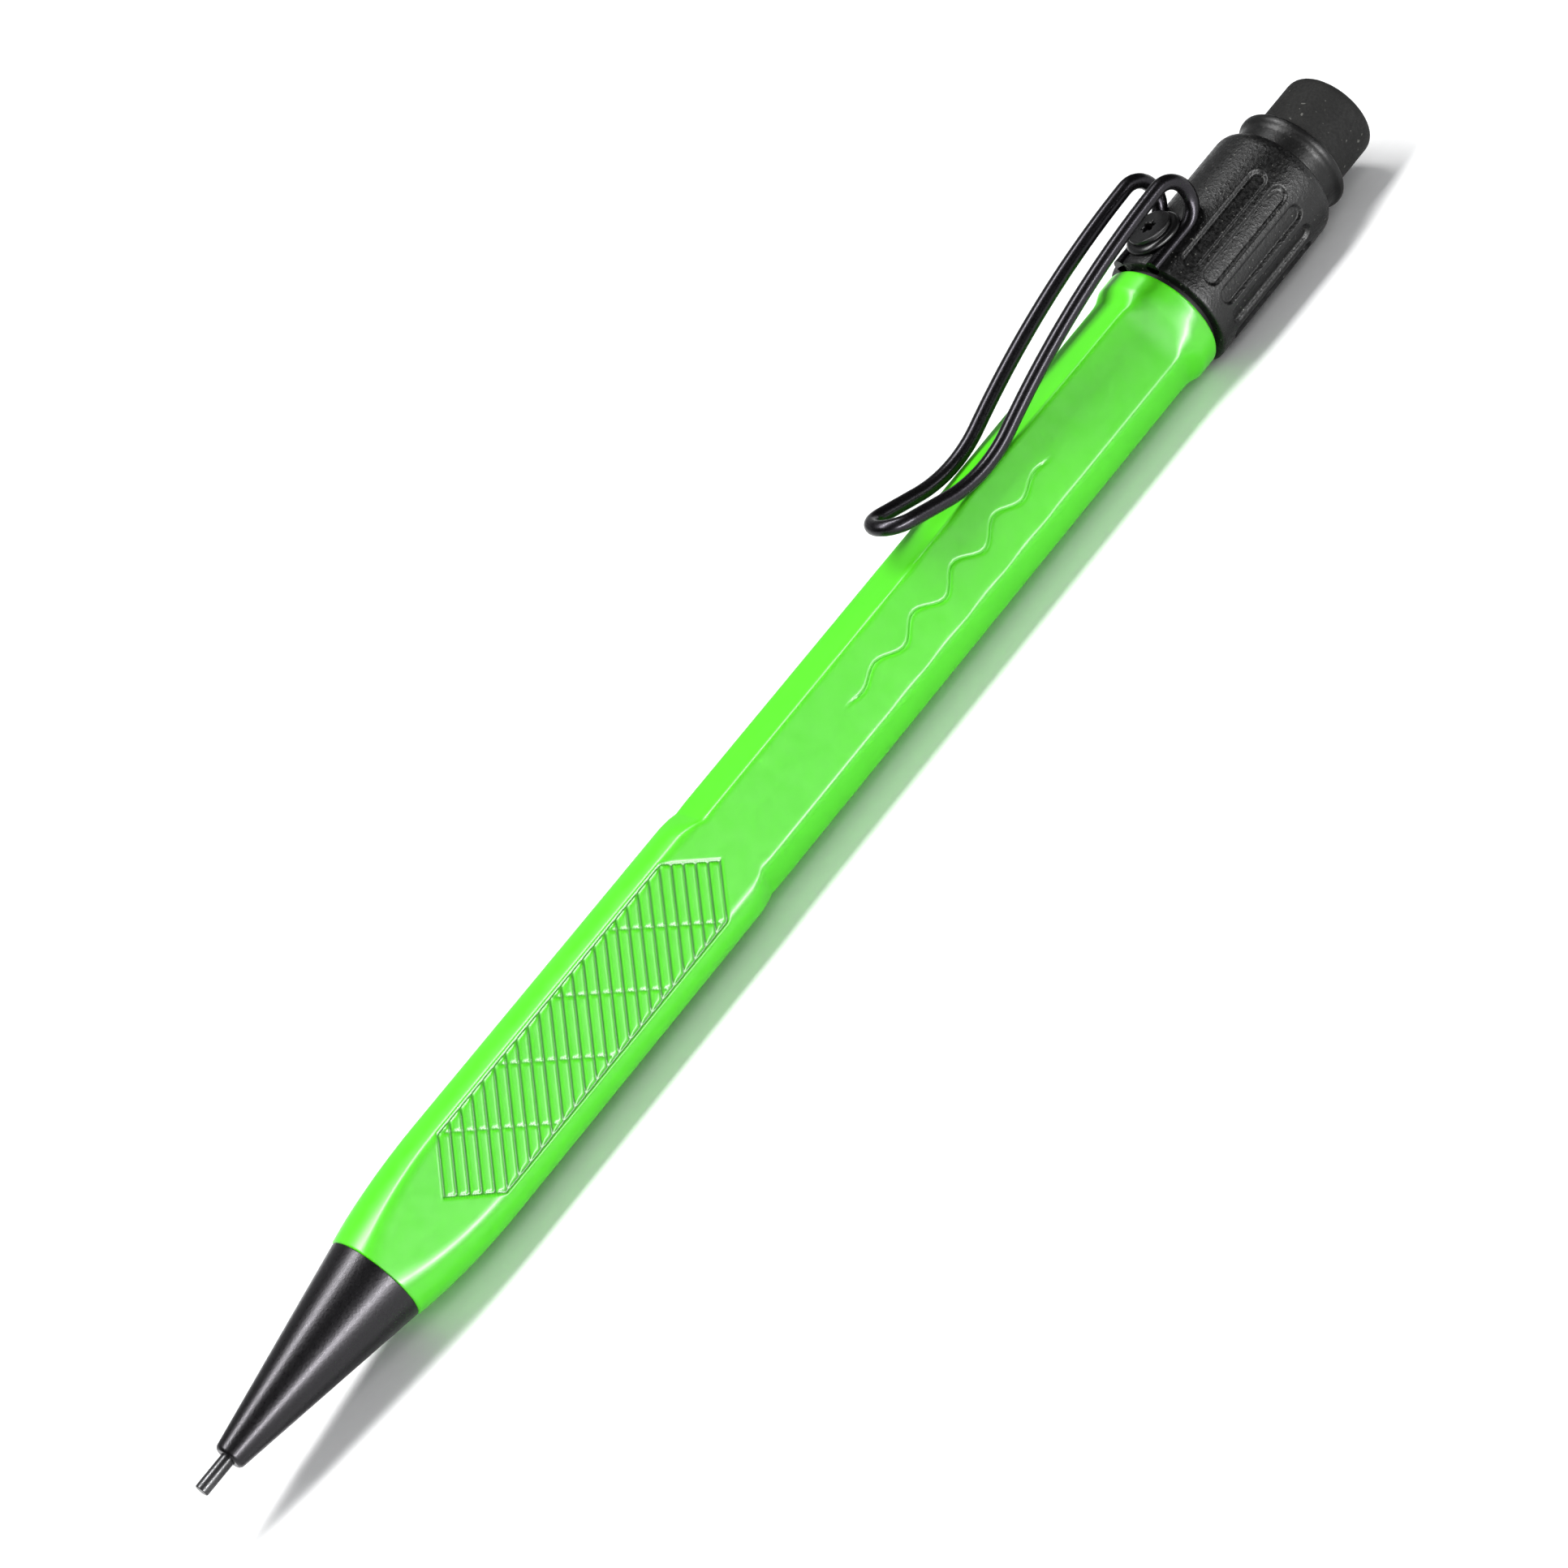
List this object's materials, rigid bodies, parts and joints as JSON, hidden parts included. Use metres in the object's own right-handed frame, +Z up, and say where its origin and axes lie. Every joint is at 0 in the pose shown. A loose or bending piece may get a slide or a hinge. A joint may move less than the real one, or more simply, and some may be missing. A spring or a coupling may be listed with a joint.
{
  "type": "lead holder",
  "caption": "Push-button clutch pencil: ribbed green barrel, black cone nose, thick lead, fluted end sleeve, wire pocket clip and round eraser.",
  "frame": {"origin": "under the middle of the length, at the height of the surface that the end sleeve rests on", "axes": "+X along the axis from the lead to the eraser, +Z up through the clip, +Y completes the right hand"},
  "size_m": [0.164, 0.0126, 0.0175],
  "materials": {
    "green_plastic": "glossy moulded plastic",
    "black_metal": "matte black plated metal",
    "textured_plastic": "spark-textured moulding",
    "black_plastic": "satin moulding",
    "black_wire": "satin black-oxide spring wire",
    "black_screw": "black-oxide steel",
    "graphite": "burnished graphite",
    "eraser_rubber": "matte speckled rubber",
    "gland_rubber": "soft rubber",
    "brass": "turned",
    "spring_steel": "bright wire",
    "natural_plastic": "natural moulding"
  },
  "bodies": {
    "body": {"barrel": "green_plastic", "nose_cone": "black_metal", "lead_gland": "gland_rubber", "clutch_housing": "brass", "return_spring": "spring_steel", "end_sleeve": "textured_plastic", "seal_ring": "gland_rubber", "clip_anchor": "black_wire", "clip_screw": "black_screw", "screw_insert": "brass"},
    "plunger": {"chuck_stem": "brass", "spring_seat": "spring_steel", "coupling_bush": "natural_plastic", "lead_tube": "natural_plastic", "spare_leads": "graphite", "tube_stopper": "gland_rubber", "eraser_holder": "black_plastic"},
    "eraser_plug": {"eraser": "eraser_rubber"},
    "ring": {"chuck_ring": "brass"},
    "jaw_a": {"chuck_jaw_a": "brass"},
    "jaw_b": {"chuck_jaw_b": "brass"},
    "jaw_c": {"chuck_jaw_c": "brass"},
    "working_lead": {"lead": "graphite"},
    "clip_spring": {"clip_arm": "black_wire"}
  },
  "joints": [
    {"name": "press", "type": "slide", "parent": "body", "child": "plunger", "axis": [-1, 0, 0], "range_m": [0, 0.0017], "stiffness_N_per_m": 1500, "springref_m": -0.001, "deforming": ["return_spring"]},
    {"name": "ring_slide", "type": "slide", "parent": "body", "child": "ring", "axis": [-1, 0, 0], "range_m": [0, 0.00085]},
    {"name": "jaw_a_open", "type": "hinge", "parent": "plunger", "child": "jaw_a", "pos_m": [-0.0511, 0.00102, 0.00627], "axis": [0, 0, -1], "range_deg": [0, 1.2]},
    {"name": "jaw_b_open", "type": "hinge", "parent": "plunger", "child": "jaw_b", "pos_m": [-0.0511, -0.00051, 0.00715], "axis": [0, 0.866, 0.5], "range_deg": [0, 1.2]},
    {"name": "jaw_c_open", "type": "hinge", "parent": "plunger", "child": "jaw_c", "pos_m": [-0.0511, -0.00051, 0.00539], "axis": [0, -0.866, 0.5], "range_deg": [0, 1.2]},
    {"name": "lead_feed", "type": "slide", "parent": "plunger", "child": "working_lead", "axis": [-1, 0, 0], "range_m": [-0.002, 0.004]},
    {"name": "eraser_pull", "type": "slide", "parent": "plunger", "child": "eraser_plug", "axis": [1, 0, 0], "range_m": [0, 0.012]},
    {"name": "clip_flex", "type": "hinge", "parent": "body", "child": "clip_spring", "pos_m": [0.06287, 0, 0.01429], "axis": [0, 1, 0], "range_deg": [0, 6], "stiffness_Nm_per_rad": 0.9, "springref_deg": -2.29}
  ],
  "couplings": [
    {"joint": "ring_slide", "follows": "press", "ratio": 0.5},
    {"joint": "jaw_a_open", "follows": "press", "rad_per_m": 12.3},
    {"joint": "jaw_b_open", "follows": "press", "rad_per_m": 12.3},
    {"joint": "jaw_c_open", "follows": "press", "rad_per_m": 12.3}
  ]
}
